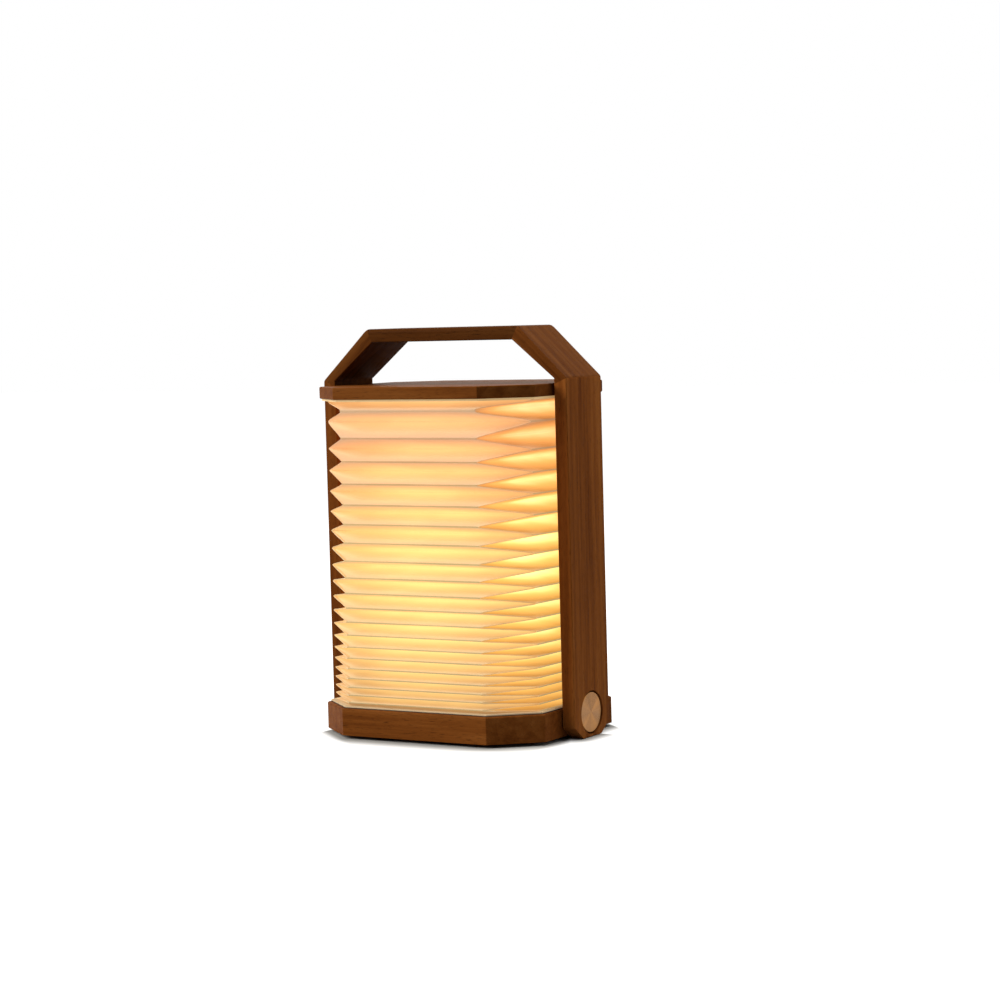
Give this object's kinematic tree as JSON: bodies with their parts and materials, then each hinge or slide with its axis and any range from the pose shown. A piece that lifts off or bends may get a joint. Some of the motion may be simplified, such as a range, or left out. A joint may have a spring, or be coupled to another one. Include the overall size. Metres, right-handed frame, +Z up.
{
  "type": "origami lamp",
  "caption": "Portable lantern with a pleated paper shade between an octagonal wooden base and a sliding wooden lid, and a hoop handle that swings on brass pivots.",
  "frame": {"origin": "on the table, under the middle of the base", "axes": "+Z up, +X towards the leg with the push button, -Y the front"},
  "size_m": [0.162, 0.1188, 0.2307],
  "materials": {
    "walnut": "oiled satin",
    "beech": "sawn",
    "paper": "matte translucent fibre paper",
    "card": "matte white board",
    "brass": "spun and lacquered",
    "rubber": "matte",
    "cover_plastic": "fine texture",
    "screw_steel": "zinc plated",
    "socket_steel": "drawn",
    "circuit_board": "solder mask",
    "nylon": "moulded",
    "switch_black": "moulded",
    "battery_wrap": "shrink wrap",
    "led_aluminium": "white mask",
    "led_phosphor": "phosphor gel",
    "opal": "opal diffusing",
    "magnet": "nickel plated"
  },
  "bodies": {
    "base": {"base_block": "walnut", "base_cover": "cover_plastic", "cover_screws": "screw_steel", "rubber_feet": "rubber", "battery_pack": "battery_wrap", "control_board": "circuit_board", "board_spacers": "nylon", "usb_socket": "socket_steel", "push_switch": "switch_black", "led_board": "led_aluminium", "led_chips": "led_phosphor", "led_diffuser": "opal", "lower_card": "card", "paper_shade": "paper", "right_hub": "brass", "left_hub": "brass", "pivot_cap": "brass"},
    "handle": {"right_leg": "walnut", "left_leg": "walnut", "right_shoulder": "walnut", "left_shoulder": "walnut", "top_bar": "walnut", "mitre_splines": "beech", "leg_magnets": "magnet"},
    "lid": {"lid_board": "walnut", "lid_magnets": "magnet", "upper_card": "card", "upper_card_screws": "screw_steel"},
    "button": {"power_button": "brass"}
  },
  "joints": [
    {"name": "handle_swing", "type": "hinge", "parent": "base", "child": "handle", "pos_m": [0, 0, 0.0138], "axis": [1, 0, 0], "range_deg": [-90, 90]},
    {"name": "lid_slide", "type": "slide", "parent": "base", "child": "lid", "axis": [0, 0, 1], "range_m": [-0.147, 0], "deforming": ["paper_shade"]},
    {"name": "button_press", "type": "slide", "parent": "base", "child": "button", "axis": [-1, 0, 0], "range_m": [0, 0.0005], "stiffness_N_per_m": 1500, "springref_m": -0.0004}
  ]
}
